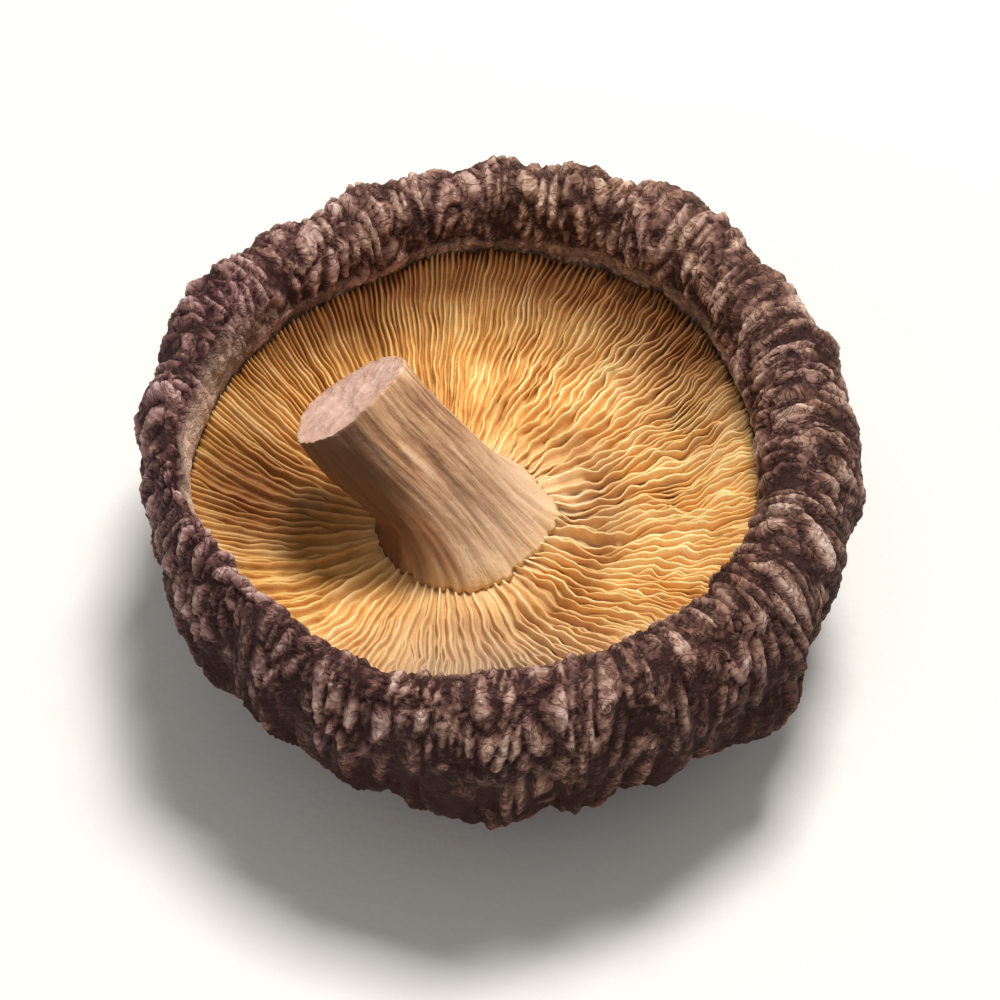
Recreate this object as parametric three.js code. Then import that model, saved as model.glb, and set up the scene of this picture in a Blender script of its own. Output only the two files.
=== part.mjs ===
// A dried shiitake mushroom, lying on the crown of its cap with the gills up.
// Millimetres, +Z up. The origin is the centre of the flat spot that it rests on, and -Y is its front.
// Its three colours are its three solids: the dark cap, the golden gills and the pale stem.
import * as THREE from "three";

// The cap: a deep dome that dried into a cup, with its margin rolled in.
const CAP_RADIUS = 25.2; // mean radius at the widest ring
const CAP_OVAL = 0.6; // added to that radius along Y, taken off along X
const FLAT_RADIUS = 5.5; // the flat spot under the crown
const WIDEST_HEIGHT = 14.5; // the height of the widest ring
const WALL_POWER = 2.2; // how square the wall's curve is: 2 is a plain ellipse
const RIM_HEIGHT = 21.3; // mean height of the top of the rolled rim
const RIM_SWAY = 0.45; // how far that top rises and falls on its way round
const ROLL_WIDTH = 5.5; // mean width of the rolled rim, seen from above
const ROLL_UNEVEN = 1.7; // wider by this on the right, narrower by it on the left
const ROLL_DEPTH = 4.6; // from the top of the roll down to its inner lip
const INNER_SET_BACK = 0.35; // the wall under the lip lies this far outside it
const FLESH = 6.5; // thickness of the cap's flesh over the flat spot

// The cap's skin: pleats from the drying, and broad folds down the wall.
const PLEAT_HEIGHT = 0.4; // a ridge stands out by this, and a crease sinks in by it
const PLEAT_BREAK = 1.15; // how much that changes along a ridge: past 1, ridges end and others start between
const PLEAT_DRIFT = 0.03; // radians that a ridge wanders sideways from row to row
const FOLD_HEIGHT = 0.2; // each of the broad waves below
const FOLD_COUNTS = [7, 12, 19, 26]; // waves round the wall

// Where the cap isn't round: the place in degrees, its half width in degrees, and millimetres outwards.
const OUTLINE_BUMPS = [
  { at: 150, wide: 17, out: 1.2 },
  { at: 118, wide: 13, out: -0.7 },
  { at: 52, wide: 13, out: 0.5 },
  { at: 222, wide: 18, out: -0.5 },
];
const WALL_BUMPS = [
  { at: 317, wide: 7, out: 1.7 },
  { at: 304, wide: 6, out: -0.9 },
  { at: 262, wide: 9, out: 0.2 },
  { at: 12, wide: 8, out: -0.5 },
  { at: 95, wide: 10, out: 0.6 },
  { at: 196, wide: 9, out: 0.6 },
];
// Where the roll is wider than its mean, in the same way.
const ROLL_BUMPS = [
  { at: 85, wide: 45, out: 1.3 },
  { at: 148, wide: 24, out: 2.2 },
  { at: 290, wide: 34, out: 1.8 },
];

// The gills: long ones from the stem to the rim, with a short one in each gap.
const LONG_GILLS = 60;
const GILL_EDGE_HEIGHT = 15.6; // the gills' height where they meet the rim
const GILL_MIDDLE_HEIGHT = 11.3; // and round the stem
const GILL_BOWL_POWER = 2.6; // how the surface climbs from the one to the other
const GILL_DEPTH = 1.25; // from a gill's edge down to the bottom of the gap beside it
const GILL_BED = 1.9; // solid thickness under the gaps
const GILL_SEAT_RADIUS = 5.7; // the plain round seat under the stem's foot, where all the gills meet
const SHORT_GILL_START = 12.2; // the radius where the short gills begin
const GILL_WAVE = 0.22; // how far a gill sways sideways, in millimetres
const GILL_CRINKLE = 0.3; // added to that on the right, where the gills are crinkled

// The stem: a short stub with a flared foot, bent to the left and cut across.
const STEM_FOOT = new THREE.Vector3(-2.8, -0.9, 11.6);
const STEM_TIP = new THREE.Vector3(-10.4, 1.0, 21.9);
const STEM_TIP_FACING = new THREE.Vector3(-0.58, 0.38, 0.72).normalize();
const STEM_RADIUS = 4.4;
const STEM_FLARE = 1.5; // added to the radius at the foot
const STEM_POINTS = 30; // points round it, every second one on a fibre ridge
const STEM_ROWS = 12;
const FIBRE_HEIGHT = 0.16;

const GAP = 0.3; // kept between solids that touch
const SEED = 31;

// A small generator of repeatable random numbers from 0 to 1.
function seededRandom(seed) {
  let state = seed >>> 0;
  return () => {
    state = (state + 0x6d2b79f5) >>> 0;
    let mixed = Math.imul(state ^ (state >>> 15), 1 | state);
    mixed = (mixed + Math.imul(mixed ^ (mixed >>> 7), 61 | mixed)) ^ mixed;
    return ((mixed ^ (mixed >>> 14)) >>> 0) / 4294967296;
  };
}

// Smooth noise from -1 to 1 on a band that closes on itself: cells round the turn, and cells along it.
function bandNoise(across, along, seed) {
  const random = seededRandom(seed);
  const cells = Array.from({ length: across * (along + 2) }, () => random() * 2 - 1);
  const cell = (column, row) => cells[(column % across) + across * row];
  const ease = (x) => x * x * (3 - 2 * x);
  const mix = THREE.MathUtils.lerp;
  return (turn, level) => {
    const u = THREE.MathUtils.euclideanModulo(turn, 1) * across;
    const v = THREE.MathUtils.clamp(level, 0, 1) * along;
    const column = Math.floor(u);
    const row = Math.floor(v);
    const low = mix(cell(column, row), cell(column + 1, row), ease(u - column));
    const high = mix(cell(column, row + 1), cell(column + 1, row + 1), ease(u - column));
    return mix(low, high, ease(v - row));
  };
}

// The sum of some bumps at an angle round the cap.
function bumpsAt(bumps, angle) {
  let sum = 0;
  for (const { at, wide, out } of bumps) {
    const away = THREE.MathUtils.radToDeg(angle) - at;
    const nearest = THREE.MathUtils.euclideanModulo(away + 180, 360) - 180;
    sum += out * Math.exp(-((nearest / wide) ** 2));
  }
  return sum;
}

// A closed skin over rings of points, each ring with as many points as the one before, twice or half as many.
// The rings go from the middle of the underside, over the outside, to the middle of the top.
function skin(rings) {
  const points = [];
  const faces = [];
  const starts = rings.map((ring) => points.push(...ring) - ring.length);
  const middle = (ring) => {
    const sum = ring.reduce((total, point) => total.add(point), new THREE.Vector3());
    return points.push(sum.divideScalar(ring.length)) - 1;
  };
  const fan = (start, count, pole, flip) => {
    for (let i = 0; i < count; i++) {
      const here = start + i;
      const next = start + ((i + 1) % count);
      faces.push(...(flip ? [pole, here, next] : [pole, next, here]));
    }
  };
  fan(starts[0], rings[0].length, middle(rings[0]), false);
  for (let k = 0; k + 1 < rings.length; k++) {
    const [below, above] = [rings[k].length, rings[k + 1].length];
    const low = (i) => starts[k] + (i % below);
    const high = (i) => starts[k + 1] + (i % above);
    for (let i = 0; i < Math.min(below, above); i++) {
      if (below === above) {
        faces.push(low(i), low(i + 1), high(i + 1), low(i), high(i + 1), high(i));
      } else if (above > below) {
        faces.push(low(i), high(2 * i + 1), high(2 * i));
        faces.push(low(i), low(i + 1), high(2 * i + 1), low(i + 1), high(2 * i + 2), high(2 * i + 1));
      } else {
        faces.push(high(i), low(2 * i), low(2 * i + 1));
        faces.push(high(i), low(2 * i + 1), high(i + 1), low(2 * i + 1), low(2 * i + 2), high(i + 1));
      }
    }
  }
  const last = rings.length - 1;
  fan(starts[last], rings[last].length, middle(rings[last]), true);
  const geometry = new THREE.BufferGeometry().setFromPoints(points);
  geometry.setIndex(faces);
  geometry.computeVertexNormals();
  return geometry;
}

function colouredMesh(name, geometry, colour, roughness) {
  const material = new THREE.MeshStandardMaterial({ color: colour, roughness, metalness: 0 });
  const mesh = new THREE.Mesh(geometry, material);
  mesh.name = name;
  return mesh;
}

const widestRadius = (angle) =>
  CAP_RADIUS - CAP_OVAL * Math.cos(2 * angle) + bumpsAt(OUTLINE_BUMPS, angle);
const rimHeight = (angle) =>
  RIM_HEIGHT + RIM_SWAY * (0.6 * Math.sin(2 * angle + 0.7) + 0.4 * Math.sin(5 * angle + 2.1));
const rollWidth = (angle) =>
  ROLL_WIDTH + ROLL_UNEVEN * Math.cos(angle) + 0.3 * Math.sin(3 * angle + 1.0) + bumpsAt(ROLL_BUMPS, angle);
const innerRadius = (angle) => widestRadius(angle) - rollWidth(angle);

// The broad folds of the wall, the same all the way up it.
function foldsAt(angle) {
  let sum = 0;
  FOLD_COUNTS.forEach((count, k) => {
    sum += FOLD_HEIGHT * Math.sin(count * angle + 1.9 * k * k + 0.4);
  });
  return sum;
}

// Places on the cap's cross-section, as functions from the angle round it to a radius and a height.
// The wall climbs from the flat spot at 0 degrees to the widest ring at 90.
function wall(degrees) {
  const turn = THREE.MathUtils.degToRad(degrees);
  const out = Math.sin(turn) ** (2 / WALL_POWER);
  const up = 1 - Math.cos(turn) ** (2 / WALL_POWER);
  const bulge = Math.sin(Math.PI * Math.min(up * 1.15, 1));
  return (angle) => [
    FLAT_RADIUS + (widestRadius(angle) - FLAT_RADIUS) * out + bumpsAt(WALL_BUMPS, angle) * bulge,
    WIDEST_HEIGHT * up,
  ];
}

// The outer half of the roll, from the widest ring at 0 degrees to its top at 90.
function outerRoll(degrees) {
  const turn = THREE.MathUtils.degToRad(degrees);
  return (angle) => [
    widestRadius(angle) - (rollWidth(angle) / 2) * (1 - Math.cos(turn)),
    WIDEST_HEIGHT + (rimHeight(angle) - WIDEST_HEIGHT) * Math.sin(turn),
  ];
}

// The inner half of the roll, from its top at 0 degrees to the lip at 90.
function innerRoll(degrees) {
  const turn = THREE.MathUtils.degToRad(degrees);
  return (angle) => [
    innerRadius(angle) + (rollWidth(angle) / 2) * (1 - Math.sin(turn)),
    rimHeight(angle) - ROLL_DEPTH * (1 - Math.cos(turn)),
  ];
}

const GILL_UNDERSIDE = GILL_EDGE_HEIGHT - GILL_DEPTH - GILL_BED; // at the gills' outer edge
const GILL_MIDDLE_UNDERSIDE = FLESH + GAP; // and under the stem

// Below the lip the cap's inside is a wall down to the gills' outer edge, then a floor under them.
const innerWall = (outwards, height) => (angle) => [innerRadius(angle) + outwards, height];
const innerFloor = (share) => (angle) => [innerRadius(angle) * share, gillUnderside(share) - GAP];
const gillUnderside = (share) =>
  THREE.MathUtils.lerp(GILL_MIDDLE_UNDERSIDE, GILL_UNDERSIDE, share ** 2);

// The cap's rows: how many points each has, how strong its pleats and its folds are, and its place.
function capRows() {
  const row = (count, pleat, fold, place) => ({ count, pleat, fold, place });
  const wallRow = (degrees) => row(144, 0.95, 1, wall(degrees));
  const outerRow = (degrees) => row(144, 1.05, 0.8, outerRoll(degrees));
  const innerRow = (degrees) => row(144, 0.95, 0.45, innerRoll(degrees));
  return [
    row(36, 0, 0, wall(0)),
    row(72, 0.2, 0.1, wall(12)),
    row(72, 0.6, 0.4, wall(22)),
    row(72, 0.8, 0.8, wall(31)),
    ...[38, 45, 52, 59, 66, 73, 80, 87].map(wallRow),
    ...[14, 29, 45, 61, 76].map(outerRow),
    ...[0, 30, 60, 88].map(innerRow),
    row(144, 0.3, 0, innerWall(INNER_SET_BACK, GILL_EDGE_HEIGHT + 0.3)),
    row(144, 0, 0, innerWall(INNER_SET_BACK, GILL_EDGE_HEIGHT - 1.2)),
    row(72, 0, 0, innerWall(INNER_SET_BACK, GILL_UNDERSIDE + 0.3)),
    row(72, 0, 0, innerFloor(0.97)),
    row(36, 0, 0, innerFloor(0.62)),
    row(36, 0, 0, innerFloor(0.3)),
  ];
}

// Every second point of a row is the top of a pleat, and the others lie in the creases.
function makeCap() {
  const rows = capRows();
  const pleatNoise = bandNoise(54, 15, SEED);
  const driftNoise = bandNoise(30, 8, SEED + 1);
  const rings = rows.map(({ count, pleat, fold, place }, k) => {
    const level = k / (rows.length - 1);
    const before = rows[Math.max(k - 1, 0)].place;
    const after = rows[Math.min(k + 1, rows.length - 1)].place;
    return Array.from({ length: count }, (_, i) => {
      const turn = i / count;
      const angle = 2 * Math.PI * turn + PLEAT_DRIFT * Math.min(pleat, 1) * driftNoise(turn, level);
      const [radius, height] = place(angle);
      const [radiusBefore, heightBefore] = before(angle);
      const [radiusAfter, heightAfter] = after(angle);
      const outwards = new THREE.Vector2(heightAfter - heightBefore, radiusBefore - radiusAfter).normalize();
      const side = i % 2 === 0 ? 1 : -1;
      const strength = 0.45 + PLEAT_BREAK * pleatNoise(turn, level);
      const relief = PLEAT_HEIGHT * pleat * side * strength + fold * foldsAt(angle);
      const reach = radius + relief * outwards.x;
      return new THREE.Vector3(reach * Math.cos(angle), reach * Math.sin(angle), height + relief * outwards.y);
    });
  });
  return colouredMesh("cap", skin(rings), 0x5e4a44, 0.8);
}

// The gills' outer edge, just inside the cap's inner wall.
const gillReach = (angle) => innerRadius(angle) + INNER_SET_BACK - GAP - 0.05;

// How far a radius is on the way from the seat, 0, to the rim, 1.
const gillShare = (radius, reach) =>
  THREE.MathUtils.clamp((radius - GILL_SEAT_RADIUS) / (reach - GILL_SEAT_RADIUS), 0, 1);

// How high the gills' edges lie: lowest round the stem, highest at the rim.
const gillHeight = (share) =>
  THREE.MathUtils.lerp(GILL_MIDDLE_HEIGHT, GILL_EDGE_HEIGHT, share ** GILL_BOWL_POWER);

// Every second point of a ring is on a gill's edge, and the others lie in the gaps between the gills.
// The rings are round the cap's middle at the rim, and round the stem's foot at the seat.
function gillRing(count, radiusAt, depth, waveNoise, level) {
  return Array.from({ length: count }, (_, i) => {
    const turn = i / count;
    const straight = 2 * Math.PI * turn;
    const crinkle = GILL_WAVE + GILL_CRINKLE * Math.max(Math.cos(straight), 0);
    const radius = radiusAt(straight);
    const angle = straight + (crinkle / radius) * waveNoise(turn, level);
    const share = gillShare(radius, gillReach(angle));
    const height = gillHeight(share) - (i % 2 === 0 ? 0 : depth);
    const x = radius * Math.cos(angle) + STEM_FOOT.x * (1 - share);
    const y = radius * Math.sin(angle) + STEM_FOOT.y * (1 - share);
    return new THREE.Vector3(x, y, height);
  });
}

function makeGills() {
  const flatRing = (count, share, height) =>
    Array.from({ length: count }, (_, i) => {
      const angle = (2 * Math.PI * i) / count;
      const radius = gillReach(angle) * share;
      return new THREE.Vector3(radius * Math.cos(angle), radius * Math.sin(angle), height);
    });
  const waveNoise = bandNoise(26, 6, SEED + 2);
  const long = 2 * LONG_GILLS;
  const all = 2 * long;
  const between = (share) => (angle) =>
    THREE.MathUtils.lerp(SHORT_GILL_START, gillReach(angle), share);
  const ring = (count, radiusAt, depth, level) =>
    gillRing(count, radiusAt, depth, waveNoise, level);
  const rings = [
    ...[0.32, 0.64, 0.97].map((share) => flatRing(LONG_GILLS, share, gillUnderside(share))),
    flatRing(long, 1, GILL_UNDERSIDE + 0.35),
    ring(all, (angle) => gillReach(angle), GILL_DEPTH * 0.7, 1),
    ...[0.93, 0.7, 0.45, 0.2].map((share) => ring(all, between(share), GILL_DEPTH, share)),
    ring(long, () => SHORT_GILL_START - 0.5, GILL_DEPTH, 0),
    ring(long, () => 9.2, GILL_DEPTH * 0.9, 0),
    ring(long, () => GILL_SEAT_RADIUS + 0.5, GILL_DEPTH * 0.5, 0),
    ring(LONG_GILLS, () => GILL_SEAT_RADIUS, 0, 0),
  ];
  return colouredMesh("gills", skin(rings), 0xd6a45c, 0.75);
}

// The stem's rings sit across a curve that leaves the foot upwards and ends square to the cut.
function makeStem() {
  const curve = new THREE.CubicBezierCurve3(
    STEM_FOOT,
    STEM_FOOT.clone().add(new THREE.Vector3(-1.6, 0, 4.2)),
    STEM_TIP.clone().addScaledVector(STEM_TIP_FACING, -5.5),
    STEM_TIP,
  );
  const up = new THREE.Vector3(0, 0, 1);
  const lean = new THREE.Quaternion().setFromUnitVectors(up, STEM_TIP_FACING);
  const ring = (share, size) => {
    const centre = curve.getPoint(share);
    const tilt = new THREE.Quaternion().slerp(lean, THREE.MathUtils.smoothstep(share, 0, 0.8));
    const flare = STEM_FLARE * Math.exp(-((share / 0.2) ** 1.4));
    return Array.from({ length: STEM_POINTS }, (_, i) => {
      const angle = (2 * Math.PI * i) / STEM_POINTS;
      const fibre = FIBRE_HEIGHT * (i % 2 === 0 ? 1 : -1);
      const lumps = 0.25 * Math.sin(3 * angle + 0.8) + 0.15 * Math.sin(5 * angle + 2);
      const radius = (STEM_RADIUS + flare + fibre + lumps) * size;
      const point = new THREE.Vector3(radius * Math.cos(angle), radius * Math.sin(angle), 0);
      return point.applyQuaternion(tilt).add(centre);
    });
  };
  const rings = Array.from({ length: STEM_ROWS }, (_, k) => ring(k / (STEM_ROWS - 1), 1));
  return colouredMesh("stem", skin([ring(0, 0.6), ...rings, ring(1, 0.86)]), 0xb08a66, 0.85);
}

const mushroom = new THREE.Group();
mushroom.add(makeCap(), makeGills(), makeStem());
export default mushroom;
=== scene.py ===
# %% [markdown]
# A dried shiitake mushroom lies on its cap with the gills up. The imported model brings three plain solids:
# the cap, the gills and the stem. This lesson puts a finely wrinkled cap, thin wavy gills and a fibrous
# stem in their places. The work starts by loading the solids as a fixed frame, because every size below has
# to agree with them.

# %% Load the frame
import math
import bmesh
import bpy
import numpy as np
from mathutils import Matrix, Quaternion, Vector, noise


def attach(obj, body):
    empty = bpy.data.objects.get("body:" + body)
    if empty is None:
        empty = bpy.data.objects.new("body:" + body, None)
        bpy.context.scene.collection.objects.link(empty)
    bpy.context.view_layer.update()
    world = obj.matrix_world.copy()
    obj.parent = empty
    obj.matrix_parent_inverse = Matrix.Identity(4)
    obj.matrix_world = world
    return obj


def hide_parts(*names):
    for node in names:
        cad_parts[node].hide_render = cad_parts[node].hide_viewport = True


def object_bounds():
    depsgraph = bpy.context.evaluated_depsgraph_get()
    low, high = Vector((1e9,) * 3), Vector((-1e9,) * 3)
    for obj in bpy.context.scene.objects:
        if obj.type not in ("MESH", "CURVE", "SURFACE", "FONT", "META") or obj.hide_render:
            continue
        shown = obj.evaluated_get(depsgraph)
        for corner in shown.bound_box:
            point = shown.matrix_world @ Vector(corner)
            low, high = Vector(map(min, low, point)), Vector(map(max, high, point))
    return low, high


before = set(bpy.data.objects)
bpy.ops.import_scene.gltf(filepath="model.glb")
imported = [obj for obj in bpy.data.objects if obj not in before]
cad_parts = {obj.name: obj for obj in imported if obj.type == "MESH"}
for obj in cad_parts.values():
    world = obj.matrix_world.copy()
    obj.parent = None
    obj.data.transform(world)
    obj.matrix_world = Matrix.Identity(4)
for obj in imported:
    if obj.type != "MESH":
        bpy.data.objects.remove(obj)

cad_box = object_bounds()
MM = 0.001
print("the solids' box in mm:", [[round(x / MM, 2) for x in corner] for corner in cad_box])

# %% [markdown]
# Where a wrinkle runs and how a gill bends is left to chance, as it is in a real mushroom. Blender's noise
# takes a new start from the clock in each session unless it is given one. A fixed seed makes the model the
# same each time.

# %% Seeds
SEED = 31
noise.seed_set(SEED)
dice = np.random.default_rng(SEED)
print(f"the noise and the dice start from seed {SEED}")

# %% [markdown]
# The photo looks down on the mushroom from about 52 degrees, from far away for so small a thing. A long
# lens at the same distance keeps the same weak perspective. The camera comes first, because all else is
# judged through it.

# %% Camera
CAMERA_ELEVATION = math.radians(52)
CAMERA_DISTANCE = 0.42
NEAREST_SEEN = 0.01
SENSOR = 0.036
SHARE_OF_FRAME = 0.74
middle = (cad_box[0] + cad_box[1]) / 2
width = cad_box[1].x - cad_box[0].x

camera_data = bpy.data.cameras.new("camera")
camera_data.sensor_width = SENSOR / MM
camera_data.lens = SHARE_OF_FRAME * camera_data.sensor_width * CAMERA_DISTANCE / width
camera_data.clip_start = NEAREST_SEEN
camera = bpy.data.objects.new("camera", camera_data)
bpy.context.scene.collection.objects.link(camera)
towards = Vector((0, -math.cos(CAMERA_ELEVATION), math.sin(CAMERA_ELEVATION)))
camera.location = middle + towards * CAMERA_DISTANCE
camera.rotation_euler = towards.to_track_quat("Z", "Y").to_euler()
bpy.context.scene.camera = camera
print(f"lens {camera_data.lens:.0f} mm")

# %% [markdown]
# In the photo the back of the rim shades the gills behind the stem, and the stem shades the hollow to its
# left, so the main light stands high at the back right. It is a small window of light, which gives
# soft-edged shadows. A weaker and much broader light from the front left and a pale world fill them.

# %% Light
WORLD_COLOUR = (1.0, 0.985, 0.965)
WORLD_STRENGTH = 0.42


def area_light(name, place, size, power, colour):
    data = bpy.data.lights.new(name, "AREA")
    data.size = size
    data.energy = power
    data.color = colour
    lamp = bpy.data.objects.new(name, data)
    lamp.location = place
    lamp.rotation_euler = (Vector(place) - middle).to_track_quat("Z", "Y").to_euler()
    bpy.context.scene.collection.objects.link(lamp)
    print(f"{name}: {size} m wide, {power} W")


area_light("window", place=(0.10, 0.19, 0.66), size=0.20, power=6.2, colour=(1.0, 0.975, 0.94))
area_light("fill", place=(-0.35, -0.50, 0.42), size=0.6, power=0.7, colour=(1.0, 0.98, 0.96))

world = bpy.data.worlds.new("studio")
world.use_nodes = True
background = world.node_tree.nodes["Background"]
background.inputs["Color"].default_value = (*WORLD_COLOUR, 1)
background.inputs["Strength"].default_value = WORLD_STRENGTH
bpy.context.scene.world = world
bpy.context.scene.view_settings.view_transform = "Standard"

# %% [markdown]
# The floor is one plain square, wide enough to fill the picture. It belongs to the studio and not to the
# mushroom.

# %% Floor
FLOOR_HALF_WIDTH = 2.0

floor_bm = bmesh.new()
bmesh.ops.create_grid(floor_bm, x_segments=1, y_segments=1, size=FLOOR_HALF_WIDTH)
floor_mesh = bpy.data.meshes.new("floor")
floor_bm.to_mesh(floor_mesh)
floor_bm.free()
floor = bpy.data.objects.new("floor", floor_mesh)
bpy.context.scene.collection.objects.link(floor)
print(f"the floor is {2 * FLOOR_HALF_WIDTH:.0f} m wide")

# %% [markdown]
# A finish here is a small network of nodes that ends in one Principled shader. It could be built node by
# node, but a class with short helpers keeps each material readable as a recipe. The first half of the class
# makes nodes and links them. What is fed to a socket is either a plain value, which is set, or another
# node's output, which is linked.

# %% Make and link nodes
class Network:
    def __init__(self, name):
        self.material = bpy.data.materials.new(name)
        self.material.use_nodes = True
        self.tree = self.material.node_tree
        self.shader = self.tree.nodes["Principled BSDF"]
        self.place = self.node("ShaderNodeTexCoord").outputs["Object"]

    def node(self, kind, **settings):
        made = self.tree.nodes.new(kind)
        for key, value in settings.items():
            setattr(made, key, value)
        return made

    def feed(self, socket, value):
        if isinstance(value, bpy.types.NodeSocket):
            self.tree.links.new(value, socket)
        else:
            socket.default_value = value

    def look(self, name, value):
        self.feed(self.shader.inputs[name], value)

    def attribute(self, name):
        return self.node("ShaderNodeAttribute", attribute_name=name).outputs["Fac"]

    def joined(self, x, y, z):
        made = self.node("ShaderNodeCombineXYZ")
        for socket, name in zip(made.inputs, (x, y, z)):
            self.feed(socket, self.attribute(name))
        return made.outputs["Vector"]

    def axis(self, letter):
        made = self.node("ShaderNodeSeparateXYZ")
        self.feed(made.inputs["Vector"], self.place)
        return made.outputs[letter]


# %% [markdown]
# The second half holds the steps that the finishes share: sums, a cloudy pattern, a ramp of colours, a mix
# and a bump. The pattern is read in the object's own coordinates, so that it moves with the mushroom. Where
# it has to follow a bent surface, it is read in three attributes of the mesh instead.

# %% Patterns and colours
class Finish(Network):
    def math(self, operation, a, b=0.0, c=0.0, clamp=False):
        made = self.node("ShaderNodeMath", operation=operation, use_clamp=clamp)
        for socket, value in zip(made.inputs, (a, b, c)):
            self.feed(socket, value)
        return made.outputs[0]

    def between(self, value, low, high):
        made = self.node("ShaderNodeMapRange", interpolation_type="SMOOTHSTEP")
        self.feed(made.inputs["Value"], value)
        self.feed(made.inputs["From Min"], low)
        self.feed(made.inputs["From Max"], high)
        return made.outputs["Result"]

    def noise(self, size, detail=4.0, rough=0.55, stretch=(1, 1, 1), twist=0.0, place=None):
        mapping = self.node("ShaderNodeMapping")
        self.feed(mapping.inputs["Vector"], place or self.place)
        self.feed(mapping.inputs["Scale"], stretch)
        made = self.node("ShaderNodeTexNoise")
        self.feed(made.inputs["Vector"], mapping.outputs["Vector"])
        self.feed(made.inputs["Scale"], 1 / size)
        self.feed(made.inputs["Detail"], detail)
        self.feed(made.inputs["Roughness"], rough)
        self.feed(made.inputs["Distortion"], twist)
        return made.outputs["Fac"]

    def ramp(self, value, *stops):
        made = self.node("ShaderNodeValToRGB")
        ramp = made.color_ramp
        while len(ramp.elements) < len(stops):
            ramp.elements.new(0.5)
        for element, (place, colour) in zip(ramp.elements, stops):
            element.position = place
            element.color = (*colour, 1)
        self.feed(made.inputs["Fac"], value)
        return made.outputs["Color"]

    def mix(self, share, first, second, blend="MIX"):
        made = self.node("ShaderNodeMix", data_type="RGBA", blend_type=blend)
        self.feed(made.inputs[0], share)
        for socket, colour in zip(made.inputs[6:8], (first, second)):
            self.feed(socket, colour if isinstance(colour, bpy.types.NodeSocket) else (*colour, 1))
        return made.outputs[2]

    def bump(self, height, depth, strength=1.0, under=None):
        made = self.node("ShaderNodeBump")
        self.feed(made.inputs["Strength"], strength)
        self.feed(made.inputs["Distance"], depth)
        self.feed(made.inputs["Height"], height)
        if under is not None:
            self.feed(made.inputs["Normal"], under)
        return made.outputs["Normal"]


# %% [markdown]
# The floor shows how a recipe reads: a pale grey that drifts a little, and a grain too fine to see as such.
# It keeps the floor from looking like a flat fill, and draws no attention.

# %% Finish of the floor
def floor_finish():
    finish = Finish("pale_floor")
    cloud = finish.noise(0.12, 3)
    finish.look("Base Color", finish.ramp(cloud, (0.3, (0.63, 0.615, 0.59)), (0.7, (0.66, 0.645, 0.62))))
    finish.look("Roughness", 0.7)
    finish.look("Normal", finish.bump(finish.noise(0.0008, 2), 0.00004))
    return finish.material


floor.data.materials.append(floor_finish())
print("the floor is pale grey")

# %% [markdown]
# The cap is a dome that dried into a cup with its margin rolled in. Its cross-section has five stretches:
# the flat spot, the wall up to the widest ring, the outer and the inner half of the roll, and the inside.
# The same sizes shape the plain solid, so they are repeated here in millimetres, and the fine cap keeps to
# its form. Each bump is a place and a half width in degrees, and a height in millimetres.

# %% Sizes of the cap
CAP_RADIUS = 25.2
CAP_OVAL = 0.6
FLAT_RADIUS = 5.5
WIDEST_HEIGHT = 14.5
WALL_POWER = 2.2
RIM_HEIGHT = 21.3
RIM_SWAY = 0.45
ROLL_WIDTH = 5.5
ROLL_UNEVEN = 1.7
ROLL_DEPTH = 4.6
INNER_SET_BACK = 0.35
FLESH = 6.5
GAP = 0.3
FOLD_HEIGHT = 0.2
FOLD_COUNTS = (7, 12, 19, 26)
OUTLINE_BUMPS = ((150, 17, 1.2), (118, 13, -0.7), (52, 13, 0.5), (222, 18, -0.5))
WALL_BUMPS = ((317, 7, 1.7), (304, 6, -0.9), (262, 9, 0.2), (12, 8, -0.5), (95, 10, 0.6), (196, 9, 0.6))
ROLL_BUMPS = ((85, 45, 1.3), (148, 24, 2.2), (290, 34, 1.8))
print(f"the cap is {2 * CAP_RADIUS:.0f} mm across, and its rim is {RIM_HEIGHT:.0f} mm high")

# %% [markdown]
# A cap is never quite round. Each of its main sizes is therefore a function of the angle round it: a mean,
# a slow wave or two, and the bumps where the photo shows the outline stand out or sink in.

# %% The cap's sizes at an angle
def bumps_at(bumps, angle):
    """The sum of some bumps at each angle."""
    total = np.zeros_like(angle)
    for at, wide, out in bumps:
        nearest = (np.degrees(angle) - at + 180) % 360 - 180
        total += out * np.exp(-((nearest / wide) ** 2))
    return total


def widest_radius(angle):
    return CAP_RADIUS - CAP_OVAL * np.cos(2 * angle) + bumps_at(OUTLINE_BUMPS, angle)


def rim_height(angle):
    return RIM_HEIGHT + RIM_SWAY * (0.6 * np.sin(2 * angle + 0.7) + 0.4 * np.sin(5 * angle + 2.1))


def roll_width(angle):
    wave = ROLL_UNEVEN * np.cos(angle) + 0.3 * np.sin(3 * angle + 1.0)
    return ROLL_WIDTH + wave + bumps_at(ROLL_BUMPS, angle)


def inner_radius(angle):
    return widest_radius(angle) - roll_width(angle)


def broad_folds(angle):
    return sum(FOLD_HEIGHT * np.sin(n * angle + 1.9 * k * k + 0.4) for k, n in enumerate(FOLD_COUNTS))


round_the_cap = np.radians(np.arange(360.0))
print(f"the roll is {roll_width(round_the_cap).min():.1f} to {roll_width(round_the_cap).max():.1f} mm wide")

# %% [markdown]
# The gills lie in the cup like a shallow bowl: lowest round the stem and highest at the rim. The bowl's
# heights are needed before the gills themselves, because the cap's inside has to pass under them with a
# small gap.

# %% Sizes of the bowl of gills
GILL_EDGE_HEIGHT = 15.6
GILL_MIDDLE_HEIGHT = 11.3
GILL_BOWL_POWER = 2.6
GILL_DEPTH = 1.25
GILL_BED = 1.9
GILL_SEAT_RADIUS = 5.7
GILL_UNDERSIDE = GILL_EDGE_HEIGHT - GILL_DEPTH - GILL_BED
STEM_FOOT = Vector((-2.8, -0.9, 11.6))


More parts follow.
